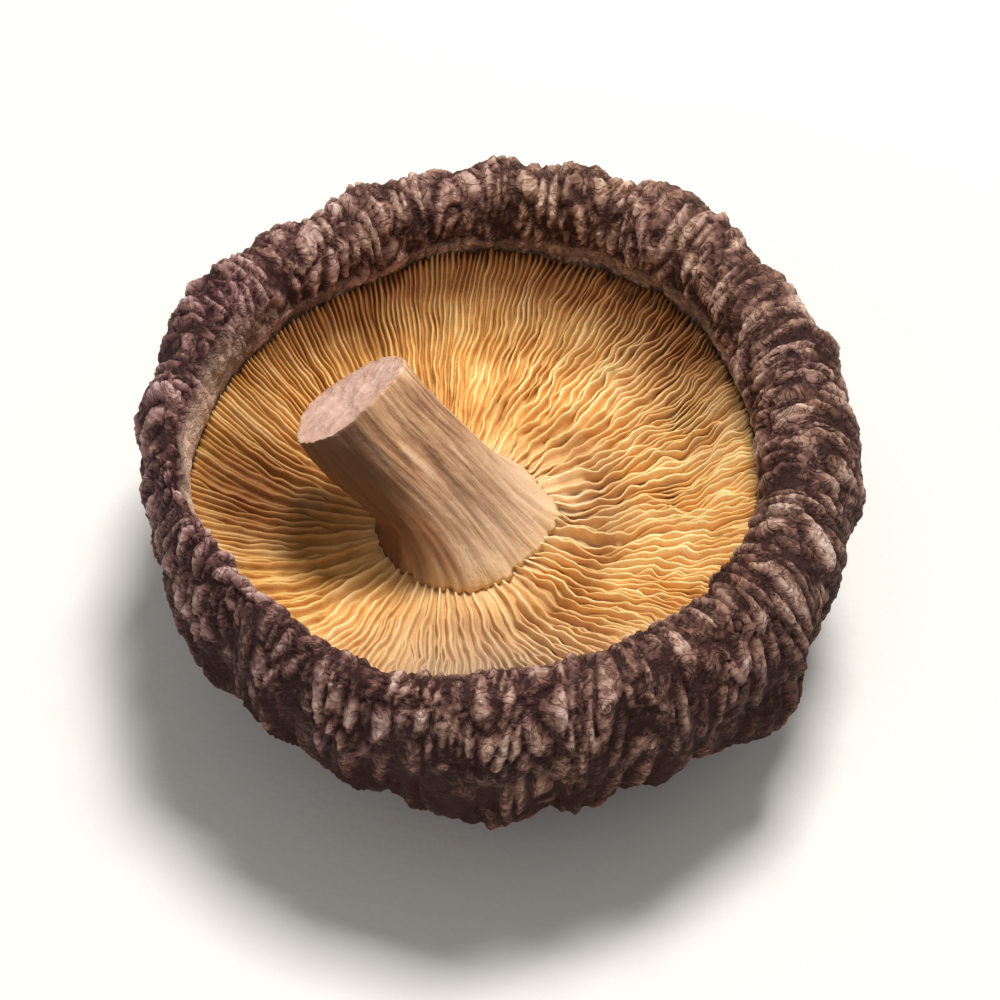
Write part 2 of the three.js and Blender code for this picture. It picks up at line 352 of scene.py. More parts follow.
def gill_underside(share):
    return FLESH + GAP + (GILL_UNDERSIDE - FLESH - GAP) * share ** 2


def gill_surface(share):
    return GILL_MIDDLE_HEIGHT + (GILL_EDGE_HEIGHT - GILL_MIDDLE_HEIGHT) * share ** GILL_BOWL_POWER


print(f"the gills' edges climb from {GILL_MIDDLE_HEIGHT} to {GILL_EDGE_HEIGHT} mm")

# %% [markdown]
# Each stretch of the cross-section is a function from a step along it and an angle round the cap to a
# radius and a height. One list of such steps then describes the whole closed body, and it can be as fine as
# the wrinkles need.

# %% Stretches of the cross-section
def flat_spot(share, angle):
    return FLAT_RADIUS * share + 0 * angle, 0 * angle


def wall(turn, angle):
    out = np.sin(turn) ** (2 / WALL_POWER)
    up = 1 - np.cos(turn) ** (2 / WALL_POWER)
    bulge = np.sin(np.pi * min(up * 1.15, 1))
    radius = FLAT_RADIUS + (widest_radius(angle) - FLAT_RADIUS) * out + bumps_at(WALL_BUMPS, angle) * bulge
    return radius, WIDEST_HEIGHT * up + 0 * angle


def outer_roll(turn, angle):
    radius = widest_radius(angle) - roll_width(angle) / 2 * (1 - np.cos(turn))
    return radius, WIDEST_HEIGHT + (rim_height(angle) - WIDEST_HEIGHT) * np.sin(turn)


def inner_roll(turn, angle):
    radius = inner_radius(angle) + roll_width(angle) / 2 * (1 - np.sin(turn))
    return radius, rim_height(angle) - ROLL_DEPTH * (1 - np.cos(turn))


def inner_wall(down, angle):
    top = rim_height(angle) - ROLL_DEPTH
    return inner_radius(angle) + INNER_SET_BACK * min(down * 3, 1), top + (GILL_UNDERSIDE - top) * down


def inner_floor(share, angle):
    return inner_radius(angle) * share, gill_underside(share) - GAP + 0 * angle


# %% [markdown]
# The rows lie closest where the wrinkles are finest, on the wall and the roll. The floor of the cup is
# hidden under the gills, so three rows do for it.

# %% The cap's cross-section
QUARTER = math.pi / 2


def steps_to(count):
    """Even steps from 0 towards 1, without the 1 itself, where the next stretch starts."""
    return np.linspace(0.0, 1.0, count + 1)[:-1]


CAP_ROWS = (
    *[(flat_spot, share) for share in np.linspace(0.12, 0.9, 7)],
    *[(wall, QUARTER * share ** 0.85) for share in steps_to(55)],
    *[(outer_roll, QUARTER * share) for share in steps_to(36)],
    *[(inner_roll, QUARTER * share) for share in steps_to(28)],
    *[(inner_wall, share) for share in np.linspace(0.0, 1.0, 22)],
    *[(inner_floor, share) for share in (0.97, 0.6, 0.2)],
)
print(f"the cross-section has {len(CAP_ROWS)} rows")

# %% [markdown]
# A round body is easiest to start as a chain of edges, its cross-section, spun once round the axis. A spin
# of many steps is slow, so the chain is spun coarsely and the edges that run round are then subdivided.
# Each vertex keeps the number of its row, so that a sculpting step can later ask which row and which angle
# it belongs to.

# %% Spin a body
SAME_PLACE = 1e-3


def spun_body(profile, steps, cuts):
    body = bmesh.new()
    row_of = body.verts.layers.int.new("row")
    chain = [body.verts.new((radius, 0, height)) for radius, height in profile]
    for index, vertex in enumerate(chain):
        vertex[row_of] = index
    edges = [body.edges.new(pair) for pair in zip(chain, chain[1:])]
    bmesh.ops.spin(body, geom=chain + edges, cent=(0, 0, 0), axis=(0, 0, 1), angle=2 * math.pi,
                   steps=steps, use_merge=True)
    bmesh.ops.remove_doubles(body, verts=body.verts, dist=SAME_PLACE)
    around = [e for e in body.edges if e.verts[0][row_of] == e.verts[1][row_of]]
    bmesh.ops.subdivide_edges(body, edges=around, cuts=cuts)
    bmesh.ops.recalc_face_normals(body, faces=body.faces)
    return body


# %% [markdown]
# Sculpting by hand moves points one stroke at a time. Here a function gets the row and the angle of all the
# points at once and answers with their places. What it knows of each point besides, such as how deep a
# crease is, goes into the mesh as attributes, which the finishes read.

# %% Sculpt and seat a piece
def sculpted_mesh(name, body, sculpt):
    """The mesh of a spun body, with its points where sculpt puts them, in millimetres, and its attributes."""
    mesh = bpy.data.meshes.new(name)
    body.to_mesh(mesh)
    body.free()
    count = len(mesh.vertices)
    points = np.zeros(count * 3, np.float32)
    row = np.zeros(count, np.int32)
    mesh.vertices.foreach_get("co", points)
    mesh.attributes["row"].data.foreach_get("value", row)
    points = points.reshape(-1, 3).astype(float)
    angle = np.arctan2(points[:, 1], points[:, 0]) % (2 * math.pi)
    moved, marks = sculpt(row, angle)
    mesh.vertices.foreach_set("co", (moved * MM).astype(np.float32).ravel())
    for mark, values in marks.items():
        layer = mesh.attributes.new(mark, "FLOAT", "POINT")
        layer.data.foreach_set("value", np.asarray(values, np.float32))
    mesh.shade_smooth()
    mesh.update()
    print(f"{name}: {count} points, {len(mesh.polygons)} faces")
    return mesh


def seat(mesh, material, node):
    """Makes the piece, and puts it in the place of its solid."""
    mesh.materials.append(material)
    piece = bpy.data.objects.new(mesh.name, mesh)
    bpy.context.scene.collection.objects.link(piece)
    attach(piece, "root")
    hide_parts(node)


# %% [markdown]
# A skin that shrinks over drying flesh crumples. On the rim it makes short ridges across the roll, on the
# wall upright pleats gathered into long folds, and under the crown a net of flat plates with creases round
# them. A cell pattern gives all of them: each cell is a pillow, and the line between two cells is a crease.
# Stretching the cells up the wall makes pleats, and bending the pattern with noise before it is read makes
# them curl.

# %% The pattern of the wrinkles
ROLL_PLEATS, ROLL_PLEAT_LENGTH = 130, 3.9
WALL_PLEATS, WALL_PLEAT_LENGTH = 104, 7.5
WALL_FOLDS, WALL_FOLD_LENGTH = 42, 22.0
CURL_SIZE = 0.85
PLATE_SIZE = 4.4


def noise_at(points):
    return np.array([noise.noise(point) for point in points])


def bent(points, size, reach):
    """The points, each moved by up to about reach in a direction that changes over a distance of size."""
    return points + reach * np.array([noise.noise_vector(point) for point in points / size])


def pillow(points, crease):
    """0 in a crease between two cells, and nearly 1 on the pillow of a cell."""
    nearest = np.array([noise.voronoi(point)[0][:2] for point in points])
    return 1 - np.exp(-(nearest[:, 1] - nearest[:, 0]) / crease)


def pleats_at(angle, along, round_count, length):
    ring = round_count / (2 * math.pi)
    upright = np.stack((ring * np.cos(angle), ring * np.sin(angle), along / length), axis=-1)
    return pillow(bent(bent(upright, 2.6, 1.3), 0.9, 0.30), 0.36)


def curls_at(places):
    return pillow(bent(places / CURL_SIZE, 1.5, 1.1), 0.35)


def plates_at(places):
    return pillow(bent(bent(places / PLATE_SIZE, 1.1, 0.55), 0.3, 0.12), 0.16)


print(f"{ROLL_PLEATS} pleats round the roll, {WALL_PLEATS} round the wall, gathered into {WALL_FOLDS} folds")

# %% [markdown]
# How deep each kind of wrinkle goes depends on where it is. Pleats are strongest on the rim and the upper
# wall, plates belong to the underside, and all fade out on the inner wall. At the left the photo shows the
# lip of the roll smooth and pale, so the wrinkles fade there too.

# %% Strength of the wrinkles on each row
LIP_AT = 184
LIP_HALF_WIDTH = 25
LIP_ELSEWHERE = 0.15


def strengths(place, value):
    """Folds, pleats, curls and plates on a row, each from 0 to 1."""
    if place is flat_spot:
        return 0, 0, 0.5, 1
    if place is wall:
        up = 1 - math.cos(value) ** (2 / WALL_POWER)
        rise = min(max((up - 0.08) / 0.5, 0), 1)
        return min(up / 0.3, 1), rise, 1, 1 - rise
    if place is outer_roll:
        return 0.9, 1, 1, 0
    if place is inner_roll:
        return 0.45, 0.95, 0.9, 0
    if place is inner_wall:
        fade = max(1 - value * 1.6, 0)
        return 0.3 * fade, 0.8 * fade, 0.6 * fade, 0
    return 0, 0, 0, 0


def lip_on(place, value, angle):
    """How much of the smooth pale lip there is on a row: most at the left, low on the roll and under it."""
    left = np.exp(-((np.degrees(angle) - LIP_AT) / LIP_HALF_WIDTH) ** 2)
    if place is inner_roll:
        return left * min(max(value / QUARTER * 3 - 1.4, 0), 1)
    if place is inner_wall:
        return LIP_ELSEWHERE + (1 - LIP_ELSEWHERE) * left
    return 0 * angle


# %% [markdown]
# Sculpting starts from the smooth form. Each point gets its radius and height, its distance along the
# cross-section, which spaces the wrinkles evenly, and the direction out of the skin. That direction stands
# square to the line between the rows before and after.

# %% The cap before its wrinkles
def around_axis(radius, height, angle):
    return np.stack((radius * np.cos(angle), radius * np.sin(angle), height), axis=-1)


def smooth_cap(row, angle):
    """Each point's radius, height, direction outwards, distance along, strengths of wrinkles and lip."""
    count = len(row)
    last = len(CAP_ROWS) - 1
    radius, height, along, lip = np.zeros((4, count))
    outwards = np.tile((0.0, 1.0), (count, 1))
    strength = np.zeros((count, 4))
    reached = 0.0
    for k, (place, value) in enumerate(CAP_ROWS):
        here = row == k + 1
        turn = angle[here]
        before, after = CAP_ROWS[max(k - 1, 0)], CAP_ROWS[min(k + 1, last)]
        r0, z0 = before[0](before[1], turn)
        r1, z1 = after[0](after[1], turn)
        radius[here], height[here] = place(value, turn)
        slope = np.stack((z1 - z0, r0 - r1), axis=-1)
        outwards[here] = slope / np.maximum(np.linalg.norm(slope, axis=-1, keepdims=True), 1e-9)
        reached += float(np.hypot(r1 - r0, z1 - z0).mean()) / 2
        along[here] = reached
        strength[here] = strengths(place, value)
        lip[here] = lip_on(place, value, turn)
    height[row == 0] = 0
    height[row == last + 2] = FLESH
    return radius, height, outwards, along, strength.T, lip


# %% [markdown]
# The wrinkles push the skin out on their ridges and in at their creases. Each kind is taken about its own
# middle, so that the cap keeps its size, and a small set-back keeps the highest ridges inside the box of
# the solids. How much a point is a ridge is kept as well, because the colour follows it.

# %% Wrinkles of the cap
FOLD_PUSH, FOLD_MIDDLE = 0.75, 0.75
PLEAT_PUSH, PLEAT_MIDDLE = 1.05, 0.6
CURL_PUSH, CURL_MIDDLE = 0.24, 0.6
PLATE_PUSH, PLATE_MIDDLE = 0.6, 0.8
LUMP_PUSH, LUMP_SIZE = 0.26, 3.2
SET_BACK = 0.15
ROLL_STARTS, ROLL_IS_FULL = 12.5, 16.5
FOLDS_LOST_ON_ROLL = 0.75


def cap_wrinkles(places, angle, along, strength):
    """How far each point is pushed outwards in millimetres, and how much it is a ridge, from 0 to 1."""
    fold, pleat, curl, plate = strength
    on_roll = np.clip((places[:, 2] - ROLL_STARTS) / (ROLL_IS_FULL - ROLL_STARTS), 0, 1)
    wall_pleats = pleats_at(angle, along, WALL_PLEATS, WALL_PLEAT_LENGTH)
    roll_pleats = pleats_at(angle, along, ROLL_PLEATS, ROLL_PLEAT_LENGTH)
    pleats = wall_pleats + (roll_pleats - wall_pleats) * on_roll
    folds = pleats_at(angle, along + 40, WALL_FOLDS, WALL_FOLD_LENGTH)
    folds = 1 - (1 - folds) * (1 - FOLDS_LOST_ON_ROLL * on_roll)
    curls, plates = curls_at(places), plates_at(places)
    swell = 0.72 + 0.35 * noise_at(places / 4.5)
    push = (fold * broad_folds(angle) + LUMP_PUSH * fold * noise_at(places / LUMP_SIZE)
            + pleat * PLEAT_PUSH * swell * (pleats - PLEAT_MIDDLE)
            + fold * FOLD_PUSH * (folds - FOLD_MIDDLE)
            + curl * CURL_PUSH * (curls - CURL_MIDDLE)
            + plate * PLATE_PUSH * (plates - PLATE_MIDDLE) - SET_BACK)
    ridge = (pleat * pleats * (0.5 + 0.5 * folds) + (1 - pleat) * plates) * (0.55 + 0.45 * curls)
    return push, ridge


# %% [markdown]
# Two marks are no wrinkles. The upper ridges are pale in patches, most of all at the back: partly rubbed
# skin, and partly painted highlight where the light falls on the top and the back of the rim. A pale line
# runs along the foot of the front wall. Both are strengths from 0 to 1, and both are left to the finish.

# %% Marks and painted highlight on the cap
RUBBED_AND_LIT_FROM, RUBBED_AND_LIT_ABOVE = 10.0, 18.0
PALE_LINE_HEIGHT, PALE_LINE_HALF_WIDTH = 5.6, 0.45
PALE_LINE_LEFT, PALE_LINE_RIGHT = -9.5, 1.0


# Pale rubbed patches on the upper ridges, and painted highlight that grows with height and towards the back,
# where the light falls.
def rubbed_and_lit_at(places, height, angle):
    rise = np.clip((height - RUBBED_AND_LIT_FROM) / (RUBBED_AND_LIT_ABOVE - RUBBED_AND_LIT_FROM), 0, 1)
    behind = np.clip(np.sin(angle) * 1.3 - 0.1, 0, 1)
    patches = rise * (0.62 + 0.9 * noise_at(places / 3.0 + 17))
    return np.clip(patches + 0.35 * behind * np.clip((height - 14.0) / 6.0, 0, 1), 0, 1)


# A pale line along the foot of the front wall, near the cap's lower edge as seen.
def pale_line_at(x, y, z):
    line = np.exp(-((z - PALE_LINE_HEIGHT - 0.3 * np.sin(x)) / PALE_LINE_HALF_WIDTH) ** 2)
    ends = np.clip((x - PALE_LINE_LEFT) / 1.5, 0, 1) * np.clip((PALE_LINE_RIGHT - x) / 2, 0, 1)
    return line * ends * (y < 0)


# %% [markdown]
# The last step of the cap's sculpting puts these together. The smooth lip takes the edge off the wrinkles
# near it, and nothing may sink below the floor.

# %% Sculpt the cap
LIP_SMOOTHS = 0.6


def sculpt_cap(row, angle):
    radius, height, outwards, along, strength, lip = smooth_cap(row, angle)
    places = around_axis(radius, height, angle)
    push, ridge = cap_wrinkles(places, angle, along, strength * (1 - LIP_SMOOTHS * lip))
    radius = radius + push * outwards[:, 0]
    height = np.maximum(height + push * outwards[:, 1], 0)
    moved = around_axis(radius, height, angle)
    rubbed_and_lit = rubbed_and_lit_at(places, height, angle)
    return moved, {"relief": ridge, "lip": lip, "rubbed_and_lit": rubbed_and_lit, "pale_line": pale_line_at(*moved.T)}


# %% [markdown]
# The skin is darker where it sinks and paler where it stands out: partly its own tone, partly painted shade
# in the creases and painted highlight on the ridges. Rubbed patches and painted highlight make the upper
# ridges paler still, most of all at the back. A ramp turns the depth of the wrinkles into colour:
# purple-brown in the creases, taupe on the ridges. Noise drifts the whole from warm to purple, the left is
# cooler, and the foot of the wall is painted darker as shade. A fine bump adds the wrinkles that are too
# small for the mesh.

# %% Finish of the cap
def cap_depth(finish, crumple, lines):
    relief, rubbed_and_lit, pale_line = (finish.attribute(name) for name in ("relief", "rubbed_and_lit", "pale_line"))
    # Ridges are painted paler, partly as painted highlight, and creases darker, partly as painted shade.
    depth = finish.math("MULTIPLY_ADD", crumple, 0.60, finish.math("SUBTRACT", relief, 0.32))
    depth = finish.math("MULTIPLY_ADD", lines, 0.16, finish.math("SUBTRACT", depth, 0.13))
    # Pale rubbed patches, with painted highlight on the upper ridges and at the back.
    depth = finish.math("MULTIPLY_ADD", rubbed_and_lit, 0.25, finish.math("SUBTRACT", depth, 0.10))
    return finish.math("MULTIPLY_ADD", pale_line, 0.60, depth)


def cap_colour(finish, depth):
    skin = finish.ramp(depth,
                       (0.12, (0.036, 0.014, 0.011)),
                       (0.32, (0.130, 0.064, 0.048)),
                       (0.48, (0.290, 0.170, 0.128)),
                       (0.64, (0.480, 0.330, 0.262)),
                       (0.84, (0.680, 0.540, 0.450)))
    purple = finish.between(finish.noise(0.007, 3), 0.48, 0.72)
    skin = finish.mix(finish.math("MULTIPLY", purple, 0.35), skin, (0.86, 0.66, 0.92), "MULTIPLY")
    warm = finish.between(finish.noise(0.0045, 3, stretch=(1, 1, 0.6)), 0.50, 0.72)
    skin = finish.mix(finish.math("MULTIPLY", warm, 0.40), skin, (1.0, 0.86, 0.68), "MULTIPLY")
    left = finish.between(finish.math("MULTIPLY", finish.axis("X"), -1.0), -0.004, 0.022)
    skin = finish.mix(finish.math("MULTIPLY", left, 0.55), skin, (0.84, 0.74, 1.0), "MULTIPLY")
    far = finish.between(finish.axis("Y"), 0.008, 0.020)
    skin = finish.mix(finish.math("MULTIPLY", far, 0.8), skin, (1.0, 1.0, 0.92), "MULTIPLY")
    # Painted shade: the skin is darker towards the foot of the wall.
    low = finish.between(finish.math("MULTIPLY", finish.axis("Z"), -1.0), -0.016, -0.009)
    skin = finish.mix(low, skin, (0.92, 0.76, 0.66), "MULTIPLY")
    return finish.mix(finish.math("MULTIPLY", finish.attribute("lip"), 0.92), skin, (0.80, 0.58, 0.44))


def cap_finish():
    finish = Finish("cap_skin")
    crumple = finish.noise(0.0008, 5, 0.60, twist=1.1)
    curl = finish.noise(0.0016, 3, 0.5, twist=1.6)
    lines = finish.between(finish.math("ABSOLUTE", finish.math("SUBTRACT", curl, 0.5)), 0.0, 0.06)
    depth = cap_depth(finish, crumple, lines)
    finish.look("Base Color", cap_colour(finish, depth))
    finish.look("Roughness", finish.math("MULTIPLY_ADD", depth, -0.22, 0.76, clamp=True))
    finish.look("Specular IOR Level", 0.16)
    coarse = finish.bump(crumple, 0.00030, 0.9)
    creases = finish.bump(lines, 0.00010, 0.7, under=coarse)
    finish.look("Normal", finish.bump(finish.noise(0.00025, 3), 0.00006, 0.7, under=creases))
    return finish.material


# %% [markdown]
# The chain to be spun is the cross-section at angle 0, closed on the axis at both ends. 72 steps with 7
# cuts between them make 576 points round, about four to each pleat of the roll.

# %% Build the cap
def section(rows):
    angle = np.zeros(1)
    return [tuple(float(value[0]) for value in place(step, angle)) for place, step in rows]


cap_profile = [(0.0, 0.0), *section(CAP_ROWS), (0.0, FLESH)]
cap_mesh = sculpted_mesh("cap_fine", spun_body(cap_profile, steps=72, cuts=7), sculpt_cap)
seat(cap_mesh, cap_finish(), "cap")

# %% [markdown]
# Gills are thin blades, crowded side by side. Each fourth one runs all the way from the stem, and others
# start between them further out, wherever the gap would grow too wide. Loose blades would be heavy and
# would cut through each other, so the whole field is one surface instead: a bowl that is spun like the cap
# and then raised, blade by blade, with six points across each.

# %% The field of gills
LONG_GILLS = 74
SLOTS = 4 * LONG_GILLS
ACROSS = (-0.5, -0.31, -0.19, 0.0, 0.19, 0.31)
RAISED = (0.0, 0.42, 0.90, 1.0, 0.90, 0.42)
GILL_ROWS = (
    *[("under", share) for share in (0.4, 0.97)],
    ("side", 1.0),
    *[("top", share) for share in np.linspace(1.0, 0.0, 50)],
    *[("seat", share) for share in (0.85, 0.4)],
)
print(f"{SLOTS} gills, of which {LONG_GILLS} reach the stem")

# %% [markdown]
# Where each short gill starts could be drawn at random, but then many start together in one place and push
# the rest aside in zigzags. Steps of the golden ratio never bunch up, so they give starts that look random
# and stay evenly spread. The tone, breadth and rise of each gill are plain random draws.

# %% Each gill's own measures
GOLDEN = 0.618034
gill_start = np.zeros(SLOTS)
gill_start[2::4] = 0.16 + 0.26 * (np.arange(LONG_GILLS) * GOLDEN % 1)
gill_start[1::2] = 0.40 + 0.42 * (np.arange(SLOTS // 2) * GOLDEN % 1)
gill_tone = dice.uniform(0, 1, SLOTS)
gill_breadth = dice.uniform(0.75, 1.3, SLOTS)
gill_rise = dice.normal(0, 0.13, SLOTS)
print(f"short gills start at {gill_start[gill_start > 0].min():.2f} to {gill_start.max():.2f} of the way out")

# %% [markdown]
# All gills of a ring share its full turn. A gill that hasn't risen yet takes a narrow slot, and the slot
# widens as the gill rises, so its neighbours make room for it as real ones do.

# %% Slots round the stem
RISING_SHARE = 0.14
NARROW_SLOT = 0.22


def eased(share):
    """The share, made to start and end gently."""
    share = np.clip(share, 0, 1)
    return share * share * (3 - 2 * share)


def gill_reach(angle):
    return inner_radius(angle) + INNER_SET_BACK


def presence(share):
    """How far each gill has risen at that share of the way from the stem to the rim."""
    grown = eased((share - gill_start) / RISING_SHARE)
    grown[0::4] = 1
    return grown


def slot_angles(share):
    """The angle of each slot's middle, and its width."""
    wide = gill_breadth * (NARROW_SLOT + (1 - NARROW_SLOT) * presence(share))
    wide *= 2 * math.pi / wide.sum()
    return np.cumsum(wide) - wide / 2, wide


# %% [markdown]
# In the photo the gills lie neatly at the front and left, and on the right they are crinkled, as thin
# blades are when they dry and shorten. Slow noises do this: some carry whole gills sideways, and some tip
# only their edges. They read the same field for neighbours, so that neighbours bend together and never
# cross. In each term, the factor is a reach in millimetres, and the divisor is the distance over which the
# noise changes.

# %% How the gills bend
def crinkle_at(turn):
    """How crinkled the gills are, from 0.15 at the left to 1 at the right."""
    return 0.15 + 0.85 * np.clip(np.cos(turn - 0.2), 0, 1)


def sway_and_tip(flat, own, radius, crinkled):
    """How far each gill is carried sideways, and how much further its edge is."""
    loose = np.stack((own * 0.23, radius / 1.1, 0 * radius), axis=-1)
    sway = ((0.12 + 0.42 * crinkled) * noise_at(flat / 4.5) + 0.14 * crinkled * noise_at(flat / 1.7 + 9)
            + (0.05 + 0.25 * crinkled) * noise_at(loose))
    lean = (0.10 + 0.48 * crinkled) * noise_at(flat / 3.5 + 23)
    return sway, lean + 0.40 * crinkled * noise_at(loose * 1.6 + 5)


def gill_heights(share, own, radius, flat, crinkled, clump, valley, lift):
    """The height of each point: the bowl and its waves, less the depth of the gap, and ragged at the edge."""
    strand = np.stack((own * 7.31, radius / 1.2, 0 * radius), axis=-1)
    ends = min(share * 3, 1) * min((1 - share) * 8, 1)
    wave = 0.45 * noise_at(flat / 5.0 + 41) * ends - 0.45 * valley
    ragged = (0.14 + 0.26 * crinkled) * noise_at(strand) + gill_rise[own] + (0.12 + 0.33 * crinkled) * clump
    near_stem = min(0.35 + share * 2.4, 1)
    depth = GILL_DEPTH * near_stem * (0.40 + 0.42 * crinkled + 0.14 * noise_at(strand / 2 + 3))
    return gill_surface(share) + wave - depth * (1 - lift) + ragged * lift


# %% [markdown]
# The field isn't one colour. The hollow to the left of the stem and the left side are stained brown and also
# painted darker as the stem's shade, and the ends of the gills under the back of the rim are painted dark as
# the rim's shadow. A spot to the right of the stem's foot and the ends that meet the stem are pale, and the
# front is some of both, which makes it peach. Each is a soft spot on the plan of the gills: a place, and a
# half width each way, in millimetres.

# %% Stains, painted shade and pale spots of the gills
HOLLOW = ((-14.8, 0.1), (6.2, 5.4))
LEFT_SIDE = ((-18.5, -1.0), (4.5, 10.0))
FRONT = ((-1.0, -15.0), (9.0, 5.5))
RIGHT_OF_FOOT = ((5.0, 0.5), (3.2, 4.5))
HOLLOW_EDGE = 1.5


def spot(x, y, place, half_width, edge=1):
    """1 in the middle of the spot and 0 far from it; the edge is harder where its number is higher."""
    return np.exp(-(((x - place[0]) / half_width[0]) ** 2 + ((y - place[1]) / half_width[1]) ** 2) ** edge)


def gill_colours(share, x, y, turn, crinkled, valley):
    """How dark each point is, from brown stain and painted shade, and how pale it is."""
    front = spot(x, y, *FRONT)
    # Painted shadow: the ends of the gills under the back of the rim are darkened as the rim's shade.
    under_rim = min(max((share - 0.52) / 0.43, 0), 1) ** 1.4 * np.clip(np.sin(turn + 0.1) * 1.6 - 0.25, 0, 1)
    # The hollow and the left side get a brown stain and painted shade from the stem, and the valley gets
    # painted shade in its crease.
    stain_and_shade = (0.68 * spot(x, y, *HOLLOW, HOLLOW_EDGE) + 0.42 * spot(x, y, *LEFT_SIDE)
             + 1.30 * under_rim + 0.35 * valley + 0.52 * front)
    pale = (front + 0.5 * spot(x, y, *RIGHT_OF_FOOT) + 0.22 * crinkled * min(share * 1.6, 1)
            + 0.55 * math.exp(-share / 0.09))
    return np.clip(stain_and_shade, 0, 1), np.clip(pale, 0, 1)


# %% [markdown]
# One ring of the field comes next. Its points are set out slot by slot round the stem, and the ring slides
# from the stem's foot to the middle of the cap as it grows. They are then carried sideways, raised and
# coloured.

# %% One ring of gills
def gill_ring(share, own, part):
    """The places of a ring's points, and their edge, tone, stain and painted shade, and pale."""
    middle_angle, wide = slot_angles(share)
    turn = middle_angle[own] + wide[own] * np.take(ACROSS, part)
    lift = np.take(RAISED, part) * presence(share)[own]
    radius = GILL_SEAT_RADIUS + (gill_reach(turn) - GILL_SEAT_RADIUS) * share
    x = radius * np.cos(turn) + STEM_FOOT.x * (1 - share)
    y = radius * np.sin(turn) + STEM_FOOT.y * (1 - share)
    flat = np.stack((x, y, 0 * x), axis=-1)
    crinkled = crinkle_at(turn)
    valley = np.exp(-((radius - 9.4) / 1.0) ** 2) * np.clip(np.cos(turn + 0.45), 0, 1) ** 0.7
    clump = noise_at(np.stack((own * 0.37, radius / 3.5, 0 * x + 60), axis=-1))
    sway, tip = sway_and_tip(flat, own, radius, crinkled)
    sideways = sway * min(share * 6, 1) + tip * lift
    x = x - np.sin(turn) * sideways
    y = y + np.cos(turn) * sideways
    z = gill_heights(share, own, radius, flat, crinkled, clump, valley, lift)
    # Edge is 1 on a gill's edge and lower down in the gap; the finish uses it to paint the gaps darker, as
    # painted shade.
    edge = 1 - (1 - lift) * (0.55 + 0.45 * crinkled)
    tone = np.clip(0.5 * gill_tone[own] + 0.20 + 0.35 * crinkled + 0.9 * clump, 0, 1.3)
    return np.stack((x, y, z), axis=-1), (edge, tone, *gill_colours(share, x, y, turn, crinkled, valley))


# %% [markdown]
# The rest of the body is plain: an underside that follows the cap's floor, a side that stands clear of the
# cap's inner wall, and a seat under the stem. A gill's number and a point's place across it are read from
# the angle.

# %% Sculpt the gills
CLEAR_OF_WALL = 0.3
SIDE_RISE = 0.35
SEAT_DROP = 0.3


def plain_ring(kind, share, turn):
    """A ring of the underside, the side or the seat."""
    if kind == "seat":
        radius = GILL_SEAT_RADIUS * share
        height = GILL_MIDDLE_HEIGHT - SEAT_DROP + 0 * turn
        return around_axis(radius, height, turn) + np.array((STEM_FOOT.x, STEM_FOOT.y, 0))
    reach = (gill_reach(turn) - CLEAR_OF_WALL) * share
    height = gill_underside(share) if kind == "under" else GILL_UNDERSIDE + SIDE_RISE
    return around_axis(reach, height + 0 * turn, turn)


def sculpt_gills(row, angle):
    count = len(row)
    places = np.zeros((count, 3))
    marks = np.zeros((4, count))
    points_round = SLOTS * len(ACROSS)
    order = np.round(angle / (2 * math.pi) * points_round).astype(int) % points_round
    slot, part = order // len(ACROSS), order % len(ACROSS)
    for k, (kind, share) in enumerate(GILL_ROWS):
        here = row == k + 1
        if kind == "top":
            places[here], marks[:, here] = gill_ring(share, slot[here], part[here])
        else:
            places[here] = plain_ring(kind, share, angle[here])
    places[row == 0] = (0, 0, gill_underside(0))
    places[row == len(GILL_ROWS) + 1] = (STEM_FOOT.x, STEM_FOOT.y, GILL_MIDDLE_HEIGHT - SEAT_DROP)
    return places, dict(zip(("edge", "tone", "stain_and_shade", "pale"), marks))


# %% [markdown]
# Gills are golden where light falls on their edges and ochre down in the gaps, where it bounces between the
# blades. The bounces are the renderer's work, and the gaps are also painted darker, as painted shade. Each
# gill has a tone of its own, and the pale spots, the brown stains and the painted shade lie over all. Thin
# flesh lets some light through, so a little of it goes under the surface.

# %% Finish of the gills
def gill_finish():
    finish = Finish("gill_flesh")
    blotch = finish.noise(0.0036, 4, 0.62)
    grain = finish.noise(0.0005, 4, 0.6)
    # Painted shade: lower values down in the gaps between the blades.
    value = finish.math("MULTIPLY_ADD", finish.attribute("edge"), 0.36, 0.13)
    value = finish.math("MULTIPLY_ADD", finish.attribute("tone"), 0.30, value)
    value = finish.math("MULTIPLY_ADD", blotch, 0.85, value)
    value = finish.math("MULTIPLY_ADD", grain, 0.20, finish.math("SUBTRACT", value, 0.50))
    flesh = finish.ramp(value,
                        (0.08, (0.30, 0.120, 0.020)),
                        (0.35, (0.56, 0.270, 0.060)),
                        (0.62, (0.78, 0.450, 0.135)),
                        (0.88, (0.93, 0.670, 0.310)))
    flesh = finish.mix(finish.math("MULTIPLY", finish.attribute("pale"), 0.75), flesh, (0.62, 0.49, 0.36))
    # Brown stains and painted shade darken the flesh together.
    flesh = finish.mix(finish.attribute("stain_and_shade"), flesh, (0.30, 0.20, 0.15), "MULTIPLY")
    finish.look("Base Color", flesh)
    finish.look("Roughness", 0.60)
    finish.look("Specular IOR Level", 0.3)
    finish.look("Subsurface Weight", 0.25)
    finish.look("Subsurface Radius", (1.0, 0.5, 0.15))
    finish.look("Subsurface Scale", 0.0007)
    finish.look("Normal", finish.bump(grain, 0.00010, 0.8))
    return finish.material


# %% [markdown]
# Sculpting places every point of the gills anew, so the chain that is spun only has to have the right
# number of rows, well apart. Two steps for each long gill with eleven cuts between them give the six points
# for each slot.

